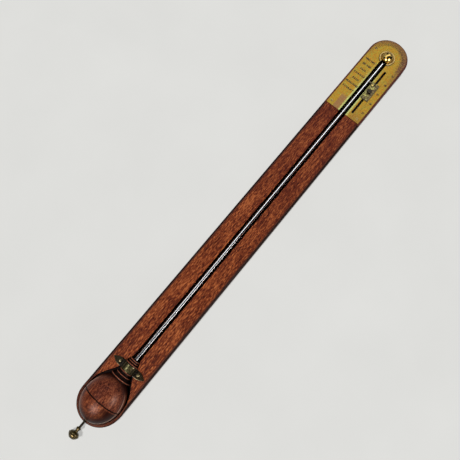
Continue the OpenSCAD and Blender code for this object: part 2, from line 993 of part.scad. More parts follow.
module screw_bush() {
    color([0.66, 0.56, 0.28])
        hung()
            difference() {
                union() {
                    bar(bush_r, bush_y, floor_y + over);
                    bar(bush_flange_r, floor_y, floor_y + bush_flange_t);
                }
                bar(screw_r + snug, bush_y - over, floor_y + 2 * over);
            }
}

// Hanger

module hanger_plate() {
    color([0.68, 0.58, 0.30])
        hung()
            difference() {
                translate([-hanger_w / 2, hanger_y - hanger_h / 2, 0])
                    cube([hanger_w, hanger_h, hanger_t]);
                translate([0, hanger_y, -over])
                    cylinder(d = hanger_hole_d, h = hanger_t + 2 * over);
                for (spot = hanger_screw_spots)
                    translate([spot[0], spot[1], 0])
                        mirror([0, 0, 1])
                            sunk_hole(hanger_t + over);
            }
}

module hanger_screws() {
    color([0.60, 0.50, 0.26])
        hung()
            for (i = [0, 1])
                translate([hanger_screw_spots[i][0], hanger_y, 0.05])
                    mirror([0, 0, 1])
                        rotate([0, 0, 30 + 70 * i])
                            sunk_screw(hanger_screw_len - 0.1);
}

backboard();
register_plate();
plate_screws();
glass_tube();
mercury_column();
cap_flange();
tube_cap();
vernier_slide();
vernier_pointer();
pointer_screw();
vernier_runner();
runner_spring();
vernier_knob();
clamp_screw();
cistern_cover();
cistern_bowl();
neck_cork();
neck_strap();
strap_screws();
cistern_body();
cistern_lid();
cistern_mercury();
leather_bag();
bag_binding();
thrust_pad();
portable_screw();
screw_knob();
screw_bush();
hanger_plate();
hanger_screws();
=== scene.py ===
"""The looks of a mercury stick barometer, which lies on its back on a pale studio floor."""
import json
import math

import bmesh
import bpy
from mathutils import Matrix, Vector


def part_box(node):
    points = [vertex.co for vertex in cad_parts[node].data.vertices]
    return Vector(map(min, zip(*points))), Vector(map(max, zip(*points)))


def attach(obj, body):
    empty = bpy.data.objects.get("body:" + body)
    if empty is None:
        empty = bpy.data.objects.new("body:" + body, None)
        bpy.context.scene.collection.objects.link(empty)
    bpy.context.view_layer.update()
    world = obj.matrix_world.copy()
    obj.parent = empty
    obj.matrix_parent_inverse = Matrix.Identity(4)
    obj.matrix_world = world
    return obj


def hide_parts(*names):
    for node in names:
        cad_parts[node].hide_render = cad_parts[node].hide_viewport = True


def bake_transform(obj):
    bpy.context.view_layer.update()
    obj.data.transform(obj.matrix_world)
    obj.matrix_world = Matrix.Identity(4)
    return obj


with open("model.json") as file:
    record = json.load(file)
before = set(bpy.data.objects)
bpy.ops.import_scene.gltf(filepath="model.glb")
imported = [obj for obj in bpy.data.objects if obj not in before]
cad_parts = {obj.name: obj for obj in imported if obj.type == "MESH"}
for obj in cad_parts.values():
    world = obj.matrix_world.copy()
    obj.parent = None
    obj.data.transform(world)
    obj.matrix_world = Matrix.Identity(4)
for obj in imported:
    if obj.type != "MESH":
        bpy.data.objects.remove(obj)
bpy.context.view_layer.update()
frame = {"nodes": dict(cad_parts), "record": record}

MM = 0.001
INCH = 25.4 * MM

# Up the instrument, and out of its face
Y = Vector((0, 1, 0))
Z = Vector((0, 0, 1))

# Places that the pieces share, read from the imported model
board_lo, board_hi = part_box("backboard")
plate_lo, plate_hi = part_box("register_plate")
tube_lo, tube_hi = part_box("glass_tube")
flange_lo, flange_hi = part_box("cap_flange")
slide_lo, slide_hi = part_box("vernier_slide")
pointer_lo, pointer_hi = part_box("vernier_pointer")
cover_lo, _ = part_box("cistern_cover")
bowl_lo, bowl_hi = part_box("cistern_bowl")
strap_lo, strap_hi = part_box("neck_strap")
_, mercury_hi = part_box("cistern_mercury")
column_lo, column_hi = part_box("mercury_column")
clamp_lo, clamp_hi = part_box("vernier_knob")

half_w = board_hi.x
foot_y = board_lo.y
arch_y = board_hi.y - half_w
board_z = board_hi.z
face_z = plate_hi.z
axis_z = (tube_lo.z + tube_hi.z) / 2
tube_r = tube_hi.x
cap_y = (flange_lo.y + flange_hi.y) / 2
pear_r = bowl_hi.x
level_y = mercury_hi.y
neck_y = (strap_lo.y + strap_hi.y) / 2
seam_y = cover_lo.y
slot_x = (clamp_lo.x + clamp_hi.x) / 2

pitch = next(
    c["ratio"] for c in frame["record"]["behaviour"]["couplings"] if c["follows"] == "screw_turn"
) * 2 * math.pi


# Studio

def lamp(name, kind, place, target, energy, seen_by):
    """A light that faces a point. Only the named kinds of ray see it."""
    data = bpy.data.lights.new(name, kind)
    data.energy = energy
    light = bpy.data.objects.new(name, data)
    light.location = place
    aim = Vector(target) - Vector(place)
    light.rotation_euler = aim.to_track_quat("-Z", "Y").to_euler()
    bpy.context.scene.collection.objects.link(light)
    light.visible_camera = False
    light.visible_diffuse = "diffuse" in seen_by
    light.visible_glossy = "glossy" in seen_by
    light.visible_transmission = "glass" in seen_by
    return light


def panel(name, place, target, size, energy, seen_by, shape="RECTANGLE"):
    light = lamp(name, "AREA", place, target, energy, seen_by)
    light.data.shape = shape
    light.data.size, light.data.size_y = size
    return light


def soft_window(name, place, target, size, energy, seen_by):
    """Three round lights, one inside the other, so that the glint fades towards its rim."""
    for share, part in ((0.45, 0.4), (0.75, 0.33), (1, 0.27)):
        width = size * share
        light = panel(f"{name}_{share}", place, target, (width, width), energy * part, seen_by, "ELLIPSE")
        light.data.color = (1, 0.89, 0.79)


def set_studio():
    """The photograph's camera, the lamps, and a grey room that glossy surfaces and glass see darker."""
    scene = bpy.context.scene
    scene.view_settings.view_transform = "Standard"
    data = bpy.data.cameras.new("photo_view")
    data.lens = 37.72
    data.sensor_width = 36
    camera = bpy.data.objects.new("photo_view", data)
    scene.collection.objects.link(camera)
    camera.location = (0.0794, -0.6425, 0.869)
    camera.rotation_euler = (0.2215, -0.033, 0.6846)
    scene.camera = camera

    overhead = lamp("overhead", "SUN", (-0.04, -0.02, 1), (0, 0, 0), 2.7, ("diffuse",))
    overhead.data.angle = math.radians(6)
    soft_window("foot_window", (0.02, -1.45, 0.68), (0, -0.85, 0.04), 0.85, 36, ("glossy",))
    soft_window("side_window", (1.07, -0.47, 0.69), (0, -0.5, 0.04), 0.8, 32, ("glossy",))
    panel("strap_window", (-0.6, -1, 1.45), (0, -0.77, 0.04), (0.2, 0.5), 1.8, ("glossy",))
    panel("tube_window", (1.07, -0.62, 0.32), (0, -0.62, 0.03), (0.8, 0.22), 2.2, ("glass",), "ELLIPSE")
    panel("left_wall", (-1.4, 0.2, 0.75), (0, 0, 0.04), (1.8, 0.9), 3.5, ("glossy",))
    panel("far_wall", (0.2, 1.5, 1.1), (0, 0, 0.04), (1.8, 0.8), 5.5, ("glossy",))
    bank = panel("tube_bank", (-0.5, 0.4, 1.5), (-0.5, 0.4, 0), (0.8, 2.9), 17, ("glass", "glossy"))
    bank.rotation_euler.z -= math.radians(34)

    world = bpy.data.worlds.new("room")
    scene.world = world
    world.use_nodes = True
    tree = world.node_tree
    ray = tree.nodes.new("ShaderNodeLightPath")
    mirrored = tree.nodes.new("ShaderNodeMath")
    mirrored.operation = "MAXIMUM"
    shade = tree.nodes.new("ShaderNodeMix")
    shade.data_type = "RGBA"
    shade.inputs[6].default_value = (0.09, 0.09, 0.09, 1)
    shade.inputs[7].default_value = (0.022, 0.024, 0.028, 1)
    tree.links.new(ray.outputs["Is Glossy Ray"], mirrored.inputs[0])
    tree.links.new(ray.outputs["Is Transmission Ray"], mirrored.inputs[1])
    tree.links.new(mirrored.outputs[0], shade.inputs[0])
    tree.links.new(shade.outputs[2], tree.nodes["Background"].inputs["Color"])


# Modelling

def clear():
    if bpy.context.mode != "OBJECT":
        bpy.ops.object.mode_set(mode="OBJECT")
    bpy.ops.object.select_all(action="DESELECT")


def open_piece(name):
    """The primitive that was just added becomes a piece, open in edit mode."""
    piece = bpy.context.object
    piece.name = name
    piece.data.name = name
    bpy.ops.object.mode_set(mode="EDIT")
    return piece


def take(piece):
    clear()
    piece.select_set(True)
    bpy.context.view_layer.objects.active = piece


def close_piece(piece, smooth=35):
    """Merges doubles, turns all faces outwards and puts the object's origin at the frame's."""
    if bpy.context.mode != "EDIT_MESH":
        take(piece)
        bpy.ops.object.mode_set(mode="EDIT")
    bpy.ops.mesh.select_all(action="SELECT")
    bpy.ops.mesh.remove_doubles(threshold=0.002 * MM)
    bpy.ops.mesh.normals_make_consistent(inside=False)
    take(piece)
    bpy.ops.object.transform_apply(location=True, rotation=True, scale=True)
    bpy.ops.object.shade_smooth_by_angle(angle=math.radians(smooth))
    return piece


def finish_with(piece, kind, **settings):
    """Adds a modifier and applies it."""
    take(piece)
    modifier = piece.modifiers.new(kind.lower(), kind)
    for name, value in settings.items():
        setattr(modifier, name, value)
    bpy.ops.object.modifier_apply(modifier=modifier.name)


def grow(along, step, scale, centre):
    """Extrudes the selected ring by a step along an axis, then scales it about its centre."""
    bpy.ops.mesh.extrude_region_move(TRANSFORM_OT_translate={"value": along * step})
    if abs(scale - 1) > 1e-6:
        bpy.ops.transform.resize(value=(scale, scale, scale), center_override=centre)


def turned(name, stations, foot, along, sides=64):
    """A turned solid: a disc is extruded and scaled through (height, radius) stations."""
    clear()
    quarter = (-math.pi / 2, 0, 0) if along.y else (0, 0, 0)
    start, radius = stations[0]
    bpy.ops.mesh.primitive_circle_add(
        vertices=sides, radius=radius, fill_type="NGON", location=foot + along * start, rotation=quarter
    )
    piece = open_piece(name)
    for (low, inner), (high, outer) in zip(stations, stations[1:]):
        grow(along, high - low, outer / inner, foot + along * high)
    return piece


def arc(height, radius, reach, start, end, steps):
    """Stations on a rounding of the lathe profile, between two angles."""
    turns = [start + (end - start) * i / steps for i in range(steps + 1)]
    return [
        (height + reach * math.sin(math.radians(a)), radius + reach * math.cos(math.radians(a)))
        for a in turns
    ]


def flute(piece, foot, along, count, depth):
    """Cuts flutes: depth is a function of the height above the foot."""
    other = Vector((0, 0, 1)) if along.y else Vector((0, 1, 0))
    side = along.cross(other)
    for v in piece.data.vertices:
        out = v.co - foot
        height = out.dot(along)
        out -= along * height
        turn = math.atan2(out.dot(side), out.dot(other))
        cut = depth(height) * (0.5 - 0.5 * math.cos(count * turn))
        if out.length > cut:
            v.co -= out.normalized() * cut


# Portable screw and its knob

def make_thread():
    """The portable screw with its cut thread, the plain tip and the end that the knob is fixed to."""
    lo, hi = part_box("portable_screw")
    pad_lo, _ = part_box("thrust_pad")
    _, bead_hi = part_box("screw_knob")
    crest_r = hi.x
    root_r = crest_r - 0.4 * pitch
    core_r = crest_r - 0.45 * pitch
    low = bead_hi.y
    high = pad_lo.y - 0.3 * MM
    clear()
    bpy.ops.mesh.primitive_plane_add(size=pitch, location=(0, 0, 0))
    screw = open_piece("portable_screw_thread")
    # one tooth: root, flank, crest, flank
    tooth = [(root_r, 0), (root_r, 0.12), (crest_r, 0.44), (crest_r, 0.56), (root_r, 0.88), (root_r, 1)]
    mesh = bmesh.from_edit_mesh(screw.data)
    bmesh.ops.delete(mesh, geom=mesh.verts[:], context="VERTS")
    points = [mesh.verts.new((radius, height * pitch, 0)) for radius, height in tooth]
    for a, b in zip(points, points[1:]):
        mesh.edges.new((a, b))
    bmesh.update_edit_mesh(screw.data)
    bpy.ops.object.mode_set(mode="OBJECT")
    turns = math.ceil((high - low) / pitch) + 2
    finish_with(
        screw, "SCREW", axis="Y", angle=2 * math.pi, screw_offset=pitch, iterations=turns,
        steps=28, render_steps=28, use_merge_vertices=False, use_normal_calculate=True,
    )
    screw.location = (0, low - pitch, axis_z)
    take(screw)
    bpy.ops.object.transform_apply(location=True)
    bpy.ops.object.mode_set(mode="EDIT")
    bpy.ops.mesh.select_all(action="SELECT")
    bpy.ops.mesh.remove_doubles(threshold=0.002 * MM)
    for height, facing, reach in ((low, -Y, low - lo.y), (high, Y, hi.y - high)):
        bpy.ops.mesh.select_all(action="SELECT")
        bpy.ops.mesh.bisect(plane_co=(0, height, axis_z), plane_no=facing, clear_outer=True, use_fill=True)
        centre = Vector((0, height, axis_z))
        bpy.ops.mesh.extrude_region_move(TRANSFORM_OT_translate={"value": facing * 0.3 * MM})
        mesh = bmesh.from_edit_mesh(screw.data)
        for v in mesh.verts:
            if v.select:
                out = v.co - centre
                out.y = 0
                v.co = Vector((0, v.co.y, axis_z)) + out.normalized() * core_r
        bmesh.update_edit_mesh(screw.data)
        bpy.ops.mesh.extrude_region_move(TRANSFORM_OT_translate={"value": facing * (reach - 0.3 * MM)})
    close_piece(screw, smooth=25)
    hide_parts("portable_screw")
    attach(screw, "screw")


def make_knob():
    """The knob: a smooth domed upper half, a ridge, a fluted lower half, and the bead on its neck."""
    lo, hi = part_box("screw_knob")
    knob_r = hi.x
    bead_len = 4 * MM
    collar_len = 3 * MM
    knob_len = hi.y - bead_len - collar_len - lo.y
    neck_r = 2.8 * MM
    bead_r = 4.2 * MM
    ridge = knob_len * 0.5
    lip = 0.7 * MM
    foot = Vector((0, lo.y, axis_z))
    stations = [(0, knob_r * 0.3), (0.15 * MM, knob_r * 0.52)]
    # the fluted lower half, rounded towards its end
    for step in range(9):
        turn = math.radians(12 + 72 * step / 8)
        stations.append((
            ridge - lip - (ridge - lip - 0.5 * MM) * (1 - math.sin(turn)),
            knob_r * 0.56 + (knob_r * 0.39) * (1 - (1 - math.sin(turn)) ** 1.6),
        ))
    stations += arc(ridge, knob_r - lip, lip, -80, 80, 7)
    # the domed upper half and the hollow of its neck
    for step in range(10):
        turn = math.radians(90 * (step + 0.6) / 10)
        stations.append((
            ridge + lip + (knob_len * 0.33) * math.sin(turn),
            neck_r + 0.9 * MM + (knob_r - neck_r - 2 * MM) * math.cos(turn) ** 0.9,
        ))
    stations += [(knob_len - 0.6 * MM, neck_r + 0.25 * MM), (knob_len + 0.4 * MM, neck_r)]
    bead_low = knob_len + collar_len
    stations += [(bead_low - 0.7 * MM, neck_r), (bead_low - 0.35 * MM, neck_r + 0.45 * MM)]
    stations += arc(bead_low + bead_len / 2, bead_r - 1.5 * MM, 1.5 * MM, -62, 62, 8)
    stations += [(bead_low + bead_len - 0.25 * MM, neck_r + 0.3 * MM), (hi.y - lo.y, neck_r)]
    knob = turned("portable_screw_knob", stations, foot, Y, sides=144)
    close_piece(knob, smooth=40)

    def depth(height):
        if height < 0.3 * MM or height > ridge - lip:
            return 0
        return 0.3 * MM * math.sin(math.pi * min(1, height / (ridge - lip))) ** 0.5

    flute(knob, foot, Y, 24, depth)
    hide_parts("screw_knob")
    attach(knob, "screw")


def make_clamp_knob():
    """The small milled knob that clamps the vernier."""
    lo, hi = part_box("vernier_knob")
    radius = (hi.x - lo.x) / 2
    height = hi.z - lo.z
    foot = Vector(((lo.x + hi.x) / 2, (lo.y + hi.y) / 2, lo.z))
    # waist, milled rim and dished top, as shares of the knob's height and radius
    profile = [
        (0.22, 0.56), (0.3, 0.62), (0.36, 0.92), (0.42, 1), (0.56, 1), (0.7, 1), (0.82, 1),
        (0.9, 0.95), (0.97, 0.84), (1, 0.7), (0.985, 0.62), (0.94, 0.45), (0.93, 0.12),
    ]
    stations = [(0, radius * 0.62), (0.3 * MM, radius * 0.66)]
    stations += [(height * up, radius * out) for up, out in profile]
    knob = turned("vernier_clamp_knob", stations, foot, Z, sides=112)
    close_piece(knob, smooth=40)
    flute(knob, foot, Z, 28, lambda h: 0.32 * MM if height * 0.38 < h < height * 0.86 else 0)
    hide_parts("vernier_knob")
    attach(knob, "clamp")


# Glass tube

def make_tube():
    """The drawn glass tube, closed and rounded at its top, and the mercury that fills its bore."""
    foot = Vector((0, 0, axis_z))
    dome_y = tube_hi.y - tube_r
    bore_r = column_hi.x + 0.05 * MM
    # the mercury lies a hair inside the glass, so that light meets one surface there
    column_r = bore_r + 0.01 * MM

    def dome(radius):
        return [
            (dome_y + radius * math.cos(math.radians(a)), radius * math.sin(math.radians(a)))
            for a in (3, 10, 20, 30, 40, 50, 60, 70, 80, 90)
        ]

    column = turned("mercury_thread", dome(column_r) + [(column_lo.y, column_r)], foot, Y, sides=96)
    walls = dome(bore_r) + [(tube_lo.y, bore_r), (tube_lo.y, tube_r)] + dome(tube_r)[::-1]
    glass = turned("drawn_glass_tube", walls, foot, Y, sides=128)
    for piece, node, slot in ((column, "mercury_column", "mercury"), (glass, "glass_tube", "tube_glass")):
        close_piece(piece, smooth=35)
        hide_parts(node)
        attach(piece, "board")


# Leather bag

def make_bag():
    """The gathered leather and the mercury in it, tied at the rim; in the real barometer they give way to the
    thrust pad.
    """
    bag_lo, bag_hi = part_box("leather_bag")
    rim = Vector((0, bag_hi.y, axis_z))
    hang = rim.y - bag_lo.y

    def gathers(depth):
        share = (depth / hang - 0.3) / 0.6
        return 0.35 * MM * math.sin(math.pi * share) if 0 < share < 1 else 0

    for name, node, slot in (
        ("tied_leather_bag", "leather_bag", "bag_leather"),
        ("cistern_pool", "cistern_mercury", "mercury"),
    ):
        piece = bpy.data.objects.new(name, frame["nodes"][node].data.copy())
        piece.data.name = name
        bpy.context.scene.collection.objects.link(piece)
        take(piece)
        bpy.ops.object.mode_set(mode="EDIT")
        bpy.ops.mesh.select_all(action="SELECT")
        bpy.ops.mesh.remove_doubles(threshold=0.002 * MM)
        take(piece)
        flute(piece, rim, -Y, 20, gathers)
        bpy.ops.object.shade_smooth_by_angle(angle=math.radians(50))
        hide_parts(node)
        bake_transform(piece)


# Neck strap

def make_strap():
    """A brass strip bent over the neck, with folds at its feet and two pointed ears."""
    thick = 1.3 * MM
    band_r = 12.2 * MM
    fold_r = 1.5 * MM
    span = strap_hi.x
    half_len = (strap_hi.y - strap_lo.y) / 2
    ear_start = 20.5 * MM
    # the strip's middle line from the neck's top down to one ear's tip, as (x, height above the board)
    path = []
    rise = fold_r + thick / 2
    low_turn = math.degrees(math.asin(rise / band_r))
    for step in range(15):
        turn = math.radians(90 - (90 - low_turn) * step / 14)
        path.append((band_r * math.cos(turn), band_r * math.sin(turn)))
    fold_x = path[-1][0] + fold_r
    for step in range(1, 7):
        turn = math.radians(180 + 90 * step / 6)
        path.append((fold_x + fold_r * math.cos(turn), rise + fold_r * math.sin(turn)))
    ear = [fold_x + (span - fold_x) * step / 15 for step in range(1, 16)]
    path += [(x, thick / 2) for x in ear]
    line = [(-x, z) for x, z in reversed(path[1:])] + path
    rows = 9
    clear()
    bpy.ops.mesh.primitive_grid_add(
        x_subdivisions=len(line) - 1, y_subdivisions=rows - 1, size=2, location=(0, 0, 0)
    )
    strap = open_piece("neck_strap_bent")
    bpy.ops.object.mode_set(mode="OBJECT")
    for v in strap.data.vertices:
        column = round((v.co.x + 1) / 2 * (len(line) - 1))
        across = v.co.y
        x, height = line[column]
        reach = abs(x)
        half = half_len
        if reach < band_r:
            # the band is a little waisted over the neck
            half -= 0.5 * MM * (1 - (reach / band_r) ** 2)
        if reach > ear_start:
            t = (reach - ear_start) / (span - ear_start)
            half *= 0.03 + 0.97 * (1 - t ** 1.45)
        v.co = (x, neck_y + half * across, board_z + height)
    finish_with(strap, "SOLIDIFY", thickness=thick, offset=0)
    finish_with(
        strap, "BEVEL", width=0.22 * MM, segments=2, limit_method="ANGLE", angle_limit=math.radians(50),
    )
    close_piece(strap, smooth=32)
    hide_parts("neck_strap")
    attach(strap, "board")


# Engraving, filled flush with dark wax

ENGRAVED = 0.02 * MM


def make_lettering(name, body, place, size, spacing=1.0, align="CENTER"):
    """Generic words or figures, as a thin inlay in the plate's face."""
    clear()
    bpy.ops.object.text_add(location=(0, 0, 0))
    text = bpy.context.object
    text.data.body = body
    text.data.size = size
    text.data.space_character = spacing
    text.data.align_x = align
    text.data.align_y = "CENTER"
    text.data.resolution_u = 3
    text.data.extrude = ENGRAVED
    text.data.offset = 0.3 * MM
    bpy.ops.object.convert(target="MESH")
    piece = bpy.context.object
    piece.name = name
    piece.data.name = name
    piece.location = place
    return close_piece(piece, smooth=20)


def make_marks(name, bars):
    """Thin engraved bars, each given by its lower left and upper right corner and its height."""
    clear()
    piece = None
    for (x0, y0), (x1, y1), z in bars:
        bpy.ops.mesh.primitive_cube_add(
            size=1, location=((x0 + x1) / 2, (y0 + y1) / 2, z), scale=(x1 - x0, y1 - y0, 2 * ENGRAVED)
        )
        if piece is None:
            piece = open_piece(name)
    return close_piece(piece, smooth=20)


def join_pieces(name, parts):
    clear()
    for part in parts:
        part.select_set(True)
    bpy.context.view_layer.objects.active = parts[0]
    bpy.ops.object.join()
    piece = bpy.context.object
    piece.name = name
    piece.data.name = name
    return piece


def make_register():
    """The weather words, the inch scale with its figures, and the plain border in the arch."""
    words = ["VERY DRY", "SET FAIR", "FAIR", "CHANGE", "RAIN", "MUCH RAIN", "STORMY"]
    rows = [
        make_lettering(
            "word", word, (-22.3 * MM, level_y + (31 - i / 2) * INCH, face_z), 5.2 * MM,
            spacing=1.3 if len(word) < 7 else 0.95,
        )
        for i, word in enumerate(words)
    ]
    weather = join_pieces("weather_words", rows)

    scale_x = slide_hi.x + 0.5 * MM
    thin = 0.12 * MM
    bars = []
    for tenth in range(41):
        y = level_y + (27 + tenth / 10) * INCH
        reach = 4.2 if tenth % 10 == 0 else 3.0 if tenth % 5 == 0 else 1.9
        bars.append(((scale_x, y - thin), (scale_x + reach * MM, y + thin), face_z))
    bars.append((
        (scale_x - thin, level_y + 27 * INCH - thin), (scale_x + thin, level_y + 31 * INCH + thin), face_z
    ))
    marks = make_marks("inch_marks", bars)
    figures = [
        make_lettering("figure", str(n), (31.6 * MM, level_y + n * INCH, face_z), 5 * MM)
        for n in range(27, 32)
    ]
    scale = join_pieces("inch_scale", [marks] + figures)

    border = make_arch_border()
    for piece in (weather, scale, border):
        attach(piece, "board")


def make_arch_border():
    """Two plain engraved arcs round the cap, with a row of small lozenges between them."""
    centre = Vector((0, cap_y, face_z))
    thin = 0.16 * MM
    sweep = math.radians(176)
    parts = []
    for radius in (28.2 * MM, 33 * MM):
        start = centre + Vector((radius, 0, 0))
        clear()
        bpy.ops.mesh.primitive_plane_add(size=1, location=start, rotation=(math.pi / 2, 0, 0))
        line = open_piece("arc")
        bpy.ops.transform.resize(value=(2 * thin, 1, 2 * ENGRAVED), center_override=start)
        bpy.ops.mesh.spin(steps=72, angle=sweep, center=centre, axis=(0, 0, -1))
        parts.append(close_piece(line, smooth=20))
    count = 26
    for i in range(count):
        turn = math.radians(4) + (sweep - math.radians(6)) * i / (count - 1)
        spot = centre + Vector((math.cos(turn), math.sin(turn), 0)) * 30.6 * MM
        clear()
        bpy.ops.mesh.primitive_cylinder_add(
            vertices=4, radius=1.3 * MM, depth=2 * ENGRAVED, location=spot, rotation=(0, 0, turn)
        )
        parts.append(close_piece(open_piece("lozenge"), smooth=20))
    return join_pieces("arch_border", parts)


def make_vernier_lines():
    """Ten divisions that span eleven tenths of an inch, down the slide's edge beside the scale."""
    index_y = (pointer_lo.y + pointer_hi.y) / 2
    step = 0.11 * INCH
    top = slide_hi.z
    thin = 0.11 * MM
    bars = []
    for i in range(11):
        y = index_y - i * step
        reach = 3.4 if i % 5 == 0 else 2.2
        bars.append(((slide_hi.x - reach * MM, y - thin), (slide_hi.x - 0.1 * MM, y + thin), top))
    lines = make_marks("vernier_lines", bars)
    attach(lines, "vernier")


# Shader tools

def paint(red, green, blue):
    """A colour as it shows on the screen, 0 to 255, turned into linear light."""
    def linear(value):
        value /= 255
        return value / 12.92 if value <= 0.04045 else ((value + 0.055) / 1.055) ** 2.4
    return (linear(red), linear(green), linear(blue), 1)


class Signal:
    """A socket in a material. Arithmetic on it adds Math nodes."""

    def __init__(self, look, socket):
        self.look = look
        self.socket = socket

    def __add__(self, other):
        return self.look.maths("ADD", self, other)

    def __sub__(self, other):
        return self.look.maths("SUBTRACT", self, other)

    def __mul__(self, other):
        return self.look.maths("MULTIPLY", self, other)

    def __rsub__(self, other):
        return self.look.maths("SUBTRACT", other, self)

    def __pow__(self, other):
        return self.look.maths("POWER", self, other)

    def __abs__(self):
        return self.look.maths("ABSOLUTE", self)

    __radd__ = __add__


class Look:
    """A material. Its patterns lie in the object's own coordinates, in millimetres."""

    def __init__(self, name, **constants):
        self.material = bpy.data.materials.new(name)
        self.material.use_nodes = True
        self.tree = self.material.node_tree
        self.surface = self.tree.nodes["Principled BSDF"]
        self.give(**constants)
        metres = self.node("TexCoord", out="Object")
        self.place = self.node("VectorMath", {"operation": "SCALE"}, {"Vector": metres, "Scale": 1000})

    def give(self, **values):
        """Sets or links the surface's own sockets; an underscore stands for a space in a name."""
        for name, value in values.items():
            self.feed(self.surface.inputs[name.replace("_", " ")], value)

    def feed(self, socket, value):
        if isinstance(value, Signal):
            self.tree.links.new(value.socket, socket)
        else:
            socket.default_value = value

    def node(self, kind, settings=None, values=None, out=0):
        """Adds a shader node. Its inputs take numbers, colours or signals, by name or by number."""
        made = self.tree.nodes.new("ShaderNode" + kind)
        for name, value in (settings or {}).items():
            if name == "stops":
                self.set_stops(made.color_ramp, value)
            else:
                setattr(made, name, value)
        for name, value in (values or {}).items():
            self.feed(made.inputs[name], value)
        return Signal(self, made.outputs[out])

    def set_stops(self, ramp, stops):
        while len(ramp.elements) < len(stops):
            ramp.elements.new(0.5)
        for element, (position, colour) in zip(ramp.elements, stops):
            element.position = position
            element.color = colour

    def maths(self, operation, *values):
        return self.node("Math", {"operation": operation}, dict(enumerate(values)))

    def clamp(self, value, low=0, high=1):
        return self.node("Clamp", None, {"Value": value, "Min": low, "Max": high})

    def axes(self):
        split = self.tree.nodes.new("ShaderNodeSeparateXYZ")
        self.feed(split.inputs[0], self.place)
        return [Signal(self, socket) for socket in split.outputs]

    def noise(self, size, detail=2, roughness=0.5, turn=0, shift=0):
        """Noise with features of so many millimetres along X, Y and Z, turned by so many degrees."""
        mapped = self.node("Mapping", {"vector_type": "TEXTURE"}, {
            "Vector": self.place, "Location": (shift * 31, shift * 47, shift * 19),
            "Rotation": (0, 0, math.radians(turn)), "Scale": size,
        })
        return self.node("TexNoise", {"noise_dimensions": "3D"}, {
            "Vector": mapped, "Scale": 1, "Detail": detail, "Roughness": roughness,
        })

    def step(self, value, low, high):
        """0 below low, 1 above high, and a smooth rise between them."""
        return self.node("MapRange", {"interpolation_type": "SMOOTHSTEP"}, {
            "Value": value, "From Min": low, "From Max": high, "To Min": 0, "To Max": 1,
        })

    def mix(self, factor, first, second, blend="MIX"):
        return self.node(
            "Mix", {"data_type": "RGBA", "blend_type": blend, "clamp_factor": True},
            {0: factor, 6: first, 7: second}, out=2,
        )

    def ramp(self, value, stops):
        return self.node("ValToRGB", {"stops": stops}, {"Fac": value})

    def bump(self, height, distance, strength=1):
        """Relief from a height; the distance is in millimetres."""
        self.give(Normal=self.node("Bump", None, {
            "Height": height, "Distance": distance * MM, "Strength": strength,
        }))


def dress(look, *names):
    for name in names:
        piece = frame["nodes"].get(name) or bpy.data.objects[name]
        piece.data.materials.clear()
        piece.data.materials.append(look.material)


# Woods

def mahogany(look, paints, flecks=1.9, streaks=1.1, shift=0):
    """Mottled mahogany with its grain along Y. Returns its colour and its pores."""
    cloud = look.noise((16, 50, 16), detail=1, shift=shift)
    streak = look.noise((2.6, 70, 2.6), detail=3, roughness=0.7, shift=shift + 7)
    fleck = look.noise((1.3, 9, 1.3), detail=2, roughness=0.65, turn=4, shift=shift + 3)
    dash = look.noise((0.75, 6, 0.75), detail=2, roughness=0.6, turn=-4, shift=shift + 5)
    pore = look.noise((0.42, 5, 0.42), detail=2, roughness=0.6, turn=3, shift=shift + 11)
    tone = 0.5 + (cloud - 0.5) * 0.5 + (streak - 0.5) * streaks
    tone += (fleck - 0.5) * flecks + (dash - 0.5) * 1.6
    colour = look.ramp(tone, list(zip((0.16, 0.38, 0.54, 0.68, 0.88), paints)))
    pores = look.step(pore, 0.55, 0.68)
    return look.mix(pores * 0.4, colour, paints[0]), pores


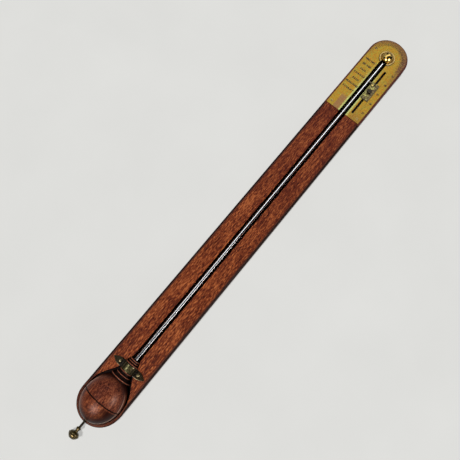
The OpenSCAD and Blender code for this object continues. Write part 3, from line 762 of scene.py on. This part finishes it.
def board_look():
    look = Look("board_mahogany", Specular_IOR_Level=0.04)
    colour, pores = mahogany(look, [
        paint(60, 22, 14), paint(95, 39, 22), paint(122, 56, 29), paint(146, 74, 39), paint(190, 108, 60),
    ])
    x, y, z = look.axes()
    # darker towards the arched top
    colour = look.mix(look.step(y, -620, -180) * 0.36, colour, paint(78, 32, 28))
    # how far a point lies inside the board's outline
    past = y - look.clamp(y, (foot_y + half_w) / MM, arch_y / MM)
    inside = half_w / MM - (x * x + past * past) ** 0.5
    wood = colour
    # painted shade along the edge: near black on its rounding and dark red just inside; a painted highlight
    # on the arris between
    colour = look.mix((1 - look.step(inside, 4.2, 6.8)) * 0.75, colour, paint(60, 25, 18))
    beside_plate = look.step(y, plate_lo.y / MM - 4, plate_lo.y / MM)
    rounding_shade = look.mix(beside_plate, paint(26, 13, 12), paint(90, 48, 42))
    foot = 1 - look.step(y, foot_y / MM + 46, foot_y / MM + 62)
    colour = look.mix((1 - look.step(inside + foot * 2.2, 3, 4)) * 0.94, colour, rounding_shade)
    # the board's sides darker below the rounding: its painted shade carried down
    shaded_flank = (1 - look.step(inside, 0.2, 0.9)) * (1 - look.step(z, board_z / MM - 6.5, board_z / MM - 3))
    colour = look.mix(shaded_flank, colour, look.mix(0.65, wood, paint(46, 18, 13)))
    # painted shade on the recess's brink, lighter on its wall on the right, which the light reaches
    lit = look.step(x, 8, 22) * (1 - look.step(y, foot_y / MM + 36, foot_y / MM + 54)) * look.step(z, 10, 16)
    brink_shade = look.step(inside, 3.2, 3.6) * (1 - look.step(inside, 4.4, 5)) * foot
    colour = look.mix(brink_shade * (0.9 - lit * 0.75), colour, paint(20, 11, 11))
    # a faint pale line on the arris just under the face: painted highlight
    arris_highlight = (1 - look.step(abs(inside - 3.8), 0.1, 0.6)) * look.step(z, 20, 21.5)
    arris_highlight *= look.step(y, foot_y / MM + 50, foot_y / MM + 75)
    colour = look.mix(arris_highlight * 0.12, colour, paint(150, 112, 102))
    # painted shade: the hollows under the tube, the cistern and the vernier are near black, less on the wall
    # on the right that the light reaches
    hollow_shade = look.step(inside, 3.2, 3.8) * look.step(z, 2.2, 2.6) * (1 - look.step(z, 21.2, 21.8))
    colour = look.mix(hollow_shade * (0.98 - lit * 0.75), colour, paint(18, 15, 16))
    back = 1 - look.step(z, 0.1, 0.6)
    colour = look.mix(back * 0.5, colour, paint(120, 78, 55))
    look.give(Base_Color=colour, Roughness=0.46 + back * 0.3 + pores * 0.2)
    look.bump(1 - pores, 0.05, 0.6)
    return look


# Heights of the rings' crests from the strap's lower edge and from its upper edge
LOWER_CRESTS = (-13.7, -7.2, -1.1)
UPPER_CRESTS = (1.5, 5.1, 8.9)


def cover_look(name, paints, shift):
    """Turned mahogany: painted shade on the foot, far side and low flanks and in the ring grooves, painted
    highlights on the crests, and a painted reflection above the recess.
    """
    look = Look(name, Specular_IOR_Level=0.06)
    colour, pores = mahogany(look, paints, flecks=0.8, streaks=1.3, shift=shift)
    x, y, z = look.axes()
    seam = seam_y / MM
    ring = strap_lo.y / MM
    collar = strap_hi.y / MM
    # painted shade: the bowl's foot, its far side, the shoulder below the rings and the cover's low flanks
    foot = 1 - look.step(y, bowl_lo.y / MM + 4, bowl_lo.y / MM + 27)
    side = look.step(x + (y - seam) * 0.2, 0, 24) * (1 - look.step(y, seam - 4, seam - 1))
    neck_shade = look.step(y, ring - 36, ring - 16)
    shaded_flank = look.step(y, seam + 20, ring - 18)
    shaded_flank *= 1 - look.step(z, (axis_z + 0.3 * pear_r) / MM, (axis_z + 0.62 * pear_r) / MM)
    dark = foot * 0.95 + side * 0.95 + neck_shade * 0.4 + shaded_flank * 0.8
    colour = look.mix(look.clamp(dark, 0, 0.95), colour, paint(36, 10, 6))
    # the line above the recess: a painted reflection of the pale floor, broken by noise
    wear = look.noise((5, 5, 5), detail=2, roughness=0.6, shift=shift + 4)
    rim_reflection = 1 - look.step(abs(z - (axis_z + 0.31 * pear_r) / MM) + (wear - 0.5) * 1.5, 0.3, 2)
    rim_reflection *= (1 - look.step(y, ring - 42, ring - 24)) * look.step(wear, 0.2, 0.5)
    colour = look.mix(rim_reflection * 0.68, colour, paint(228, 178, 150))
    # a small knot just above the seam
    knot = ((x - 6.5) ** 2 + (y - (seam + 4.5)) ** 2) ** 0.5
    colour = look.mix((1 - look.step(knot + pores * 0.4, 0.9, 1.9)) * 0.8, colour, paint(30, 12, 10))
    # rings: painted shade in the grooves, with painted highlights on the crests between them
    crests = [ring + height for height in LOWER_CRESTS] + [collar + height for height in UPPER_CRESTS]
    apart = abs(y - crests[0])
    for crest in crests[1:]:
        apart = look.maths("MINIMUM", apart, abs(y - crest))
    rings = look.step(y, ring - 17.2, ring - 16.8)
    colour = look.mix(rings * look.step(apart, 0.4, 1.1) * 0.92, colour, paint(22, 12, 11))
    colour = look.mix(rings * (1 - look.step(apart, 0.2, 0.65)) * 0.85, colour, paint(160, 92, 66))
    # the seam
    colour = look.mix((1 - look.step(abs(y - seam), 0.7, 1.5)) * 0.95, colour, paint(16, 9, 9))
    grain = look.noise((0.5, 12, 0.5), detail=2, roughness=0.6, shift=shift + 2)
    look.give(Base_Color=colour, Roughness=0.27 + grain * 0.12)
    look.bump(1 - pores, 0.04, 0.2)
    return look


def boxwood_look():
    look = Look("boxwood", Roughness=0.4, Specular_IOR_Level=0.4)
    grain = look.noise((1.1, 20, 1.1), detail=4, roughness=0.6)
    rings = look.noise((5, 100, 5), detail=1, shift=5)
    tone = 0.5 + (grain - 0.5) * 0.8 + (rings - 0.5) * 0.7
    colour = look.ramp(tone, [(0.25, paint(176, 132, 72)), (0.75, paint(222, 184, 122))])
    look.give(Base_Color=colour, Roughness=0.38 + grain * 0.1)
    look.bump(grain, 0.03, 0.4)
    return look


def cork_look():
    look = Look("cork", Roughness=0.85, Specular_IOR_Level=0.2)
    cells = look.node("TexVoronoi", {"feature": "DISTANCE_TO_EDGE"}, {"Vector": look.place, "Scale": 1.1})
    patch = look.noise((2, 2, 2), detail=3, roughness=0.7)
    colour = look.ramp(patch, [(0.3, paint(112, 70, 40)), (0.7, paint(190, 140, 92))])
    colour = look.mix(1 - look.step(cells, 0.0, 0.12), colour, paint(90, 55, 33))
    look.give(Base_Color=colour)
    look.bump(cells, 0.15, 0.6)
    return look


# Metals

def brass(name, ground, tarnish, spread=(0.46, 0.62), metallic=1.0, gloss=0.3, patch_size=2.2):
    """Brass that is duller and rougher where it has tarnished. Returns the look and its colour."""
    look = Look(name, Metallic=metallic)
    patch = look.noise((patch_size,) * 3, detail=4, roughness=0.65)
    speck = look.noise((patch_size / 5,) * 3, detail=2, roughness=0.6, shift=9)
    dull = look.step(patch + (speck - 0.5) * 0.5, *spread)
    colour = look.mix(dull, ground, tarnish)
    look.give(Base_Color=colour, Roughness=gloss + dull * 0.18)
    look.bump(patch + speck * 0.4, 0.02, 0.35)
    return look, colour


def register_look():
    """Old lacquered brass, ochre with green and orange mottling and purple-brown tarnish."""
    look = Look("register_brass", Metallic=0.15, Specular_IOR_Level=0.1)
    x, y, z = look.axes()
    mottle = look.noise((2.4, 2.9, 2.4), detail=3, roughness=0.7)
    hue = look.noise((3.4, 4.6, 3.4), detail=3, roughness=0.7, shift=13)
    colour = look.ramp(hue, [
        (0.32, paint(156, 148, 62)), (0.48, paint(169, 136, 43)), (0.66, paint(181, 125, 37)),
    ])
    colour = look.mix(look.step(mottle, 0.48, 0.72) * 0.6, colour, paint(124, 90, 50))
    # tarnish: beyond a circle round the cap, down the right side, and a patch at the lower left
    up = y - cap_y / MM
    reach = (x * x + up * up) ** 0.5
    wander = (mottle - 0.5) * 9
    arch = look.step(reach + wander * 1.6 + x * 0.12, 24, 37) * look.step(up, -22, 4)
    right = look.step(x + wander, 27, 33) * look.step(up, -70, -20)
    patch = 1 - look.step(abs(x + 17) + wander * 0.5, 5, 8)
    patch *= 1 - look.step(abs(up + 137) + wander, 14, 22)
    low = look.step(0 - up, 118, 150) * look.step(x, 8, 20)
    colour = look.mix(patch * 0.7, colour, paint(146, 104, 78))
    stain = look.clamp(arch * 0.9 + right * 0.6 + patch * 0.15 + low * 0.4)
    tarnish = look.mix(look.step(mottle, 0.4, 0.6), paint(128, 92, 56), paint(98, 68, 50))
    colour = look.mix(stain, colour, tarnish)
    # pale edges beside the tube
    edge = 1 - look.step(abs(x) + wander * 0.15, 8.6, 12)
    colour = look.mix(edge * look.step(0 - up, 0, 110) * 0.95, colour, paint(182, 188, 112))
    # painted shade near black in the vernier's slot, and a dark line round the plate
    slot = 1 - look.step(abs(x - slot_x / MM), 2.1, 2.4)
    slot *= look.step(y, plate_lo.y / MM + 11.3, plate_lo.y / MM + 11.7)
    slot *= 1 - look.step(y, cap_y / MM - 26.7, cap_y / MM - 26.3)
    half = plate_hi.x / MM
    past = y - look.clamp(y, -1000, plate_hi.y / MM - half)
    outline = 1 - look.step(half - (x * x + past * past) ** 0.5, 0.5, 1.2)
    colour = look.mix(outline * 0.8, colour, paint(76, 46, 38))
    colour = look.mix(slot, colour, paint(24, 16, 14))
    # the cut edges are dark
    cut = 1 - look.step(z, face_z / MM - 0.35, face_z / MM - 0.1)
    colour = look.mix(cut * 0.8, colour, paint(52, 38, 26))
    look.give(Base_Color=colour, Roughness=0.42 + mottle * 0.12)
    look.bump(mottle, 0.03, 0.4)
    return look


def flange_look():
    """The moulded ring round the dome, with painted shade in its corner and along its foot."""
    look, colour = brass("flange_brass", paint(172, 146, 76), paint(112, 86, 48), metallic=0.4, gloss=0.25)
    x, y, z = look.axes()
    reach = (x * x + (y - cap_y / MM) ** 2) ** 0.5
    out = flange_hi.x / MM
    corner_and_rim_shade = look.clamp(look.step(reach, out - 0.9, out - 0.3) + 1 - look.step(reach, out - 4, out - 3.2))
    look.give(Base_Color=look.mix(corner_and_rim_shade * 0.85, colour, paint(54, 40, 26)))
    return look


def slide_look():
    """The vernier's brass: grey green, with brown patches, a brown right half, and painted shade along its
    edges and round the clamp knob.
    """
    look, colour = brass(
        "vernier_brass", paint(158, 152, 80), paint(66, 48, 28), spread=(0.42, 0.54), metallic=0.35,
        gloss=0.34, patch_size=3.5,
    )
    x, y, z = look.axes()
    over = look.step(z, face_z / MM + 0.2, face_z / MM + 0.4)
    right = look.step(x, slide_hi.x / MM - 7, slide_hi.x / MM - 3)
    colour = look.mix(over * right * 0.75, colour, paint(86, 68, 34))
    across = look.maths("MINIMUM", x - slide_lo.x / MM, slide_hi.x / MM - x)
    along = look.maths("MINIMUM", y - slide_lo.y / MM, slide_hi.y / MM - y)
    edges = 1 - look.step(look.maths("MINIMUM", across, along), 0.5, 1.1)
    colour = look.mix(edges * over * 0.85, colour, paint(40, 32, 22))
    # painted shade round the clamp knob
    knob_y = (clamp_lo.y + clamp_hi.y) / 2 / MM
    apart = ((x - slot_x / MM) ** 2 + (y - knob_y) ** 2) ** 0.5
    colour = look.mix((1 - look.step(apart, 4.2, 6.4)) * over * 0.85, colour, paint(40, 32, 20))
    look.give(Base_Color=colour)
    return look


def strap_look():
    """The strap: dark olive, with painted shade nearly black in its folds, and a pale patch over the neck
    that is worn brass and a painted highlight.
    """
    look, colour = brass(
        "strap_brass", paint(80, 68, 38), paint(26, 21, 14), spread=(0.42, 0.56), metallic=0.7, gloss=0.1,
        patch_size=1.8,
    )
    x, y, z = look.axes()
    reach = abs(x)
    # painted shade in the folds
    fold_shade = 1 - look.step(abs(reach - 15), 1.2, 3)
    colour = look.mix(fold_shade * 0.92, colour, paint(20, 17, 13))
    # over the neck's crown: worn brass with a painted highlight
    crown_wear_and_highlight = look.step(z, board_z / MM + 10.5, board_z / MM + 12.4)
    colour = look.mix(crown_wear_and_highlight * 0.3, colour, paint(136, 132, 86))
    half = (strap_hi.y - strap_lo.y) / 2 / MM
    rim = look.step(abs(y - neck_y / MM), half - 1.3, half - 0.5) * (1 - look.step(reach, 11, 13))
    colour = look.mix(rim * 0.6, colour, paint(34, 29, 21))
    look.give(Base_Color=colour)
    return look


def wax_look():
    """The dark wax that fills the engraving, worn thin in places."""
    look = Look("engraving_wax", Specular_IOR_Level=0.3)
    wear = look.noise((1.1, 1.1, 1.1), detail=3, roughness=0.7)
    colour = look.mix(look.step(wear, 0.5, 0.75), paint(36, 27, 20), paint(96, 74, 42))
    look.give(Base_Color=colour, Roughness=0.6 + wear * 0.1)
    return look


def mercury_look():
    look = Look("mercury", Metallic=1.0, Roughness=0)
    skin = look.noise((3, 20, 3), detail=2)
    look.give(Base_Color=look.mix(skin, (0.7, 0.7, 0.72, 1), (0.82, 0.82, 0.84, 1)))
    return look


def glass_look():
    # an index far below real glass, so that the mercury shows at its true width and with fewer specks
    look = Look("tube_glass", Roughness=0, Transmission_Weight=1.0, IOR=1.03, Coat_Weight=0)
    drawn = look.noise((1.6, 100, 1.6), detail=1)
    look.give(Base_Color=look.mix(drawn, (0.95, 0.975, 0.97, 1), (0.98, 0.99, 0.985, 1)))
    return look


def leather_look():
    look = Look("bag_leather", Specular_IOR_Level=0.25, Sheen_Weight=0.15)
    grain = look.node("TexVoronoi", {"feature": "DISTANCE_TO_EDGE"}, {"Vector": look.place, "Scale": 1.6})
    cloud = look.noise((8, 8, 8), detail=3)
    colour = look.ramp(cloud, [(0.35, paint(168, 130, 92)), (0.65, paint(206, 172, 132))])
    look.give(Base_Color=colour, Roughness=0.7 + cloud * 0.15)
    look.bump(look.step(grain, 0, 0.15), 0.05, 0.6)
    return look


def cord_look():
    look = Look("binding_cord", Roughness=0.8, Specular_IOR_Level=0.2)
    ply = look.node("TexWave", {"wave_type": "BANDS", "bands_direction": "DIAGONAL"}, {
        "Vector": look.place, "Scale": 1.4, "Distortion": 1.5,
    })
    look.give(Base_Color=look.mix(ply, paint(168, 148, 112), paint(222, 208, 174)))
    look.bump(ply, 0.08, 0.6)
    return look


def dress_all():
    dress(board_look(), "backboard")
    dress(cover_look("cover_mahogany", [
        paint(44, 19, 15), paint(82, 36, 25), paint(110, 53, 35), paint(130, 68, 45), paint(160, 94, 62),
    ], shift=20), "cistern_cover")
    dress(cover_look("bowl_mahogany", [
        paint(58, 24, 17), paint(92, 42, 26), paint(120, 58, 36), paint(142, 74, 45), paint(178, 104, 64),
    ], shift=40), "cistern_bowl")
    dress(register_look(), "register_plate")
    dress(wax_look(), "weather_words", "inch_scale", "arch_border", "vernier_lines")
    dress(slide_look(), "vernier_slide", "vernier_pointer", "vernier_runner", "runner_spring", "hanger_plate")

    cap, _ = brass("cap_brass", paint(190, 162, 90), paint(132, 104, 54), spread=(0.46, 0.7), gloss=0.14)
    dress(cap, "tube_cap")
    dress(flange_look(), "cap_flange")
    dress(strap_look(), "neck_strap_bent")
    dark, _ = brass("dark_brass", paint(88, 76, 42), paint(30, 25, 17), metallic=0.75, gloss=0.22)
    dress(dark, "portable_screw_knob", "screw_bush")
    knob, _ = brass("knob_brass", paint(48, 42, 27), paint(20, 17, 13), metallic=0.7, gloss=0.2)
    dress(knob, "vernier_clamp_knob", "portable_screw_thread")
    bright, _ = brass("screw_brass", paint(150, 122, 62), paint(92, 70, 40), metallic=0.5, patch_size=1.2)
    dress(bright, "plate_screws", "hanger_screws", "clamp_screw")
    dull, _ = brass("dull_screws", paint(92, 84, 54), paint(50, 43, 30), metallic=0.6, patch_size=1.2)
    dress(dull, "strap_screws")
    tip, _ = brass("tip_brass", paint(196, 176, 110), paint(150, 128, 70), metallic=0.6, patch_size=1.2)
    dress(tip, "pointer_screw")

    dress(glass_look(), "drawn_glass_tube")
    dress(mercury_look(), "mercury_thread", "cistern_pool")
    dress(boxwood_look(), "cistern_body", "cistern_lid", "thrust_pad")
    dress(cork_look(), "neck_cork")
    dress(leather_look(), "tied_leather_bag")
    dress(cord_look(), "bag_binding")


def make_floor():
    clear()
    bpy.ops.mesh.primitive_plane_add(size=14, location=(0, -0.4, 0))
    floor = bpy.context.object
    floor.name = "floor"
    # it glows by itself, as a light table does, which keeps the shadows faint
    look = Look("floor_paper", Specular_IOR_Level=0, Emission_Strength=0.6)
    cloud = look.noise((170, 170, 170), detail=3)
    look.give(Base_Color=look.mix(cloud, paint(148, 148, 146), paint(156, 156, 154)), Roughness=0.9)
    look.give(Emission_Color=look.mix(cloud, paint(218, 218, 215), paint(224, 224, 221)))
    dress(look, "floor")


set_studio()
make_floor()
make_thread()
make_knob()
make_clamp_knob()
make_tube()
make_bag()
make_strap()
make_register()
make_vernier_lines()
dress_all()
